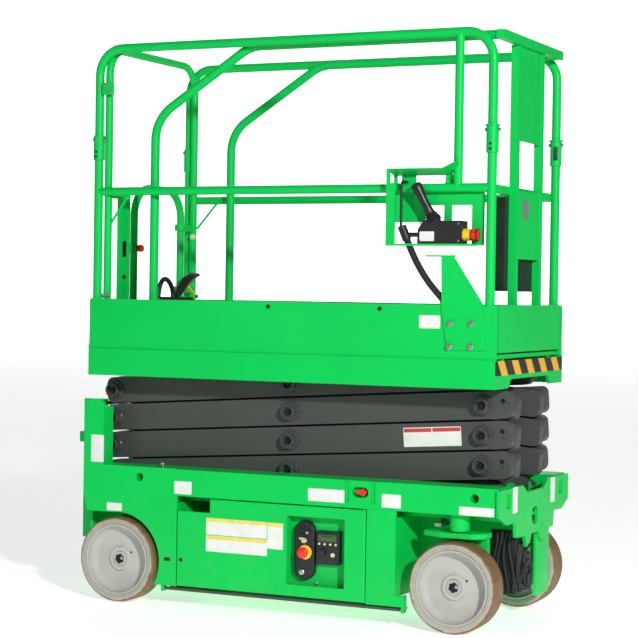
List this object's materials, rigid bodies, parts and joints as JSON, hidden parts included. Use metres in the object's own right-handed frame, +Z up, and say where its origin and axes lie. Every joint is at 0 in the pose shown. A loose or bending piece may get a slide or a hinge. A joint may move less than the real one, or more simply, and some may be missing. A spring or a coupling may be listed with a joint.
{
  "type": "electric scissor lift",
  "caption": "Self-propelled slab scissor lift with a folding four-stage scissor stack, guard-railed platform, roll-out extension deck and swing-out trays.",
  "frame": {"origin": "on the floor under the middle of the machine's length and of its chassis' width, which the platform controls overhang by 21 mm on the right", "axes": "+X towards the steered wheels, +Y to the machine's left, +Z up"},
  "size_m": [1.83, 0.792, 2.136],
  "materials": {
    "green_paint": "gloss",
    "grey_paint": "satin",
    "rim_grey": "satin",
    "tyre": "matte",
    "steel": "satin",
    "chrome": "polished",
    "black_plastic": "matte",
    "red_plastic": "gloss",
    "battery": "matte",
    "cable": "matte"
  },
  "bodies": {
    "chassis": {"chassis_frame": "green_paint", "front_plate": "green_paint", "release_handle": "red_plastic", "ladder": "green_paint"},
    "knuckle_right": {"knuckle_right": "green_paint"},
    "knuckle_left": {"knuckle_left": "green_paint"},
    "steering_link": {"steering_link": "steel"},
    "control_tray": {"control_tray": "green_paint", "control_panel": "black_plastic"},
    "battery_tray": {"battery_tray": "green_paint", "battery_pack": "battery"},
    "pothole_guard_left": {"pothole_guard_left": "grey_paint"},
    "pothole_guard_right": {"pothole_guard_right": "grey_paint"},
    "cylinder_barrel": {"cylinder_barrel": "grey_paint"},
    "cylinder_rod": {"cylinder_rod": "chrome"},
    "platform": {"platform_deck": "green_paint", "side_rail_right": "green_paint", "side_rail_left": "green_paint", "rear_guard": "green_paint", "side_bracket": "green_paint", "control_carrier": "green_paint", "control_box": "black_plastic", "control_cable": "cable"},
    "gate": {"gate": "green_paint"},
    "extension": {"extension_deck": "green_paint", "front_guard": "green_paint", "extension_rail_right": "green_paint", "extension_rail_left": "green_paint", "manual_box": "black_plastic"},
    "inner_arm_1": {"inner_arm_1": "grey_paint"},
    "outer_arm_1": {"outer_arm_1": "grey_paint"},
    "inner_arm_2": {"inner_arm_2": "grey_paint"},
    "outer_arm_2": {"outer_arm_2": "grey_paint"},
    "inner_arm_3": {"inner_arm_3": "grey_paint"},
    "outer_arm_3": {"outer_arm_3": "grey_paint"},
    "inner_arm_4": {"inner_arm_4": "grey_paint"},
    "outer_arm_4": {"outer_arm_4": "grey_paint"},
    "wheel_rear_right": {"tyre_rear_right": "tyre", "rim_rear_right": "rim_grey"},
    "wheel_rear_left": {"tyre_rear_left": "tyre", "rim_rear_left": "rim_grey"},
    "wheel_front_right": {"tyre_front_right": "tyre", "rim_front_right": "rim_grey"},
    "wheel_front_left": {"tyre_front_left": "tyre", "rim_front_left": "rim_grey"}
  },
  "joints": [
    {"name": "lift", "type": "hinge", "parent": "chassis", "child": "inner_arm_1", "pos_m": [0.783, 0, 0.476], "axis": [0, 1, 0], "range_deg": [0, 57.8]},
    {"name": "centre_pin_1", "type": "hinge", "parent": "inner_arm_1", "child": "outer_arm_1", "pos_m": [0.016, 0, 0.53], "axis": [0, 1, 0], "range_deg": [-115.65, 0]},
    {"name": "rear_pin_1", "type": "hinge", "parent": "inner_arm_1", "child": "outer_arm_2", "pos_m": [-0.751, 0, 0.584], "axis": [0, 1, 0], "range_deg": [-115.65, 0]},
    {"name": "centre_pin_2", "type": "hinge", "parent": "outer_arm_2", "child": "inner_arm_2", "pos_m": [0.016, 0, 0.638], "axis": [0, 1, 0], "range_deg": [0, 115.65]},
    {"name": "front_pin_2", "type": "hinge", "parent": "outer_arm_2", "child": "inner_arm_3", "pos_m": [0.783, 0, 0.692], "axis": [0, 1, 0], "range_deg": [0, 115.65]},
    {"name": "centre_pin_3", "type": "hinge", "parent": "inner_arm_3", "child": "outer_arm_3", "pos_m": [0.016, 0, 0.746], "axis": [0, 1, 0], "range_deg": [-115.65, 0]},
    {"name": "rear_pin_3", "type": "hinge", "parent": "inner_arm_3", "child": "outer_arm_4", "pos_m": [-0.751, 0, 0.8], "axis": [0, 1, 0], "range_deg": [-115.65, 0]},
    {"name": "centre_pin_4", "type": "hinge", "parent": "outer_arm_4", "child": "inner_arm_4", "pos_m": [0.016, 0, 0.854], "axis": [0, 1, 0], "range_deg": [0, 115.65]},
    {"name": "platform_pin", "type": "hinge", "parent": "outer_arm_4", "child": "platform", "pos_m": [0.783, 0, 0.908], "axis": [0, 1, 0], "range_deg": [0, 57.85]},
    {"name": "barrel_pin", "type": "hinge", "parent": "inner_arm_1", "child": "cylinder_barrel", "pos_m": [-0.61354, 0, 0.57432], "axis": [0, 1, 0], "range_deg": [-124.04, 0]},
    {"name": "rod_slide", "type": "slide", "parent": "cylinder_barrel", "child": "cylinder_rod", "axis": [0.9921, 0, 0.1254], "range_m": [0, 0.71181]},
    {"name": "pothole_guard_right_fold", "type": "hinge", "parent": "chassis", "child": "pothole_guard_right", "pos_m": [0, -0.354, 0.066], "axis": [-1, 0, 0], "range_deg": [0, 90]},
    {"name": "pothole_guard_left_fold", "type": "hinge", "parent": "chassis", "child": "pothole_guard_left", "pos_m": [0, 0.354, 0.066], "axis": [1, 0, 0], "range_deg": [0, 90]},
    {"name": "steer_left", "type": "hinge", "parent": "chassis", "child": "knuckle_left", "pos_m": [0.738, 0.305, 0], "axis": [0, 0, 1], "range_deg": [-60, 60]},
    {"name": "steer_right", "type": "hinge", "parent": "chassis", "child": "knuckle_right", "pos_m": [0.738, -0.305, 0], "axis": [0, 0, 1], "range_deg": [-60, 60]},
    {"name": "steering_link_slide", "type": "slide", "parent": "chassis", "child": "steering_link", "axis": [0, 1, 0], "range_m": [-0.093, 0.093]},
    {"name": "wheel_rear_right_spin", "type": "hinge", "parent": "chassis", "child": "wheel_rear_right", "pos_m": [-0.632, -0.335, 0.1625], "axis": [0, 1, 0], "continuous": true},
    {"name": "wheel_rear_left_spin", "type": "hinge", "parent": "chassis", "child": "wheel_rear_left", "pos_m": [-0.632, 0.335, 0.1625], "axis": [0, 1, 0], "continuous": true},
    {"name": "wheel_front_right_spin", "type": "hinge", "parent": "knuckle_right", "child": "wheel_front_right", "pos_m": [0.738, -0.335, 0.1625], "axis": [0, 1, 0], "continuous": true},
    {"name": "wheel_front_left_spin", "type": "hinge", "parent": "knuckle_left", "child": "wheel_front_left", "pos_m": [0.738, 0.335, 0.1625], "axis": [0, 1, 0], "continuous": true},
    {"name": "control_tray_swing", "type": "hinge", "parent": "chassis", "child": "control_tray", "pos_m": [0.392, -0.362, 0], "axis": [0, 0, 1], "range_deg": [0, 90]},
    {"name": "battery_tray_swing", "type": "hinge", "parent": "chassis", "child": "battery_tray", "pos_m": [0.392, 0.362, 0], "axis": [0, 0, -1], "range_deg": [0, 90]},
    {"name": "extension_slide", "type": "slide", "parent": "platform", "child": "extension", "axis": [1, 0, 0], "range_m": [0, 0.9]},
    {"name": "gate_swing", "type": "hinge", "parent": "platform", "child": "gate", "pos_m": [-0.719, 0.229, 0], "axis": [0, 0, 1], "range_deg": [0, 80]}
  ],
  "couplings": [
    {"joint": "centre_pin_1", "follows": "lift", "ratio": -2},
    {"joint": "rear_pin_1", "follows": "lift", "ratio": -2},
    {"joint": "centre_pin_2", "follows": "lift", "ratio": 2},
    {"joint": "front_pin_2", "follows": "lift", "ratio": 2},
    {"joint": "centre_pin_3", "follows": "lift", "ratio": -2},
    {"joint": "rear_pin_3", "follows": "lift", "ratio": -2},
    {"joint": "centre_pin_4", "follows": "lift", "ratio": 2},
    {"joint": "platform_pin", "follows": "lift", "ratio": 1},
    {"joint": "barrel_pin", "follows": "lift", "ratio": -2.1451},
    {"joint": "rod_slide", "follows": "lift", "m_per_rad": 0.7051},
    {"joint": "pothole_guard_right_fold", "follows": "lift", "ratio": 1.557},
    {"joint": "pothole_guard_left_fold", "follows": "lift", "ratio": 1.557},
    {"joint": "steer_right", "follows": "steer_left", "ratio": 1},
    {"joint": "steering_link_slide", "follows": "steer_left", "m_per_rad": -0.088}
  ]
}
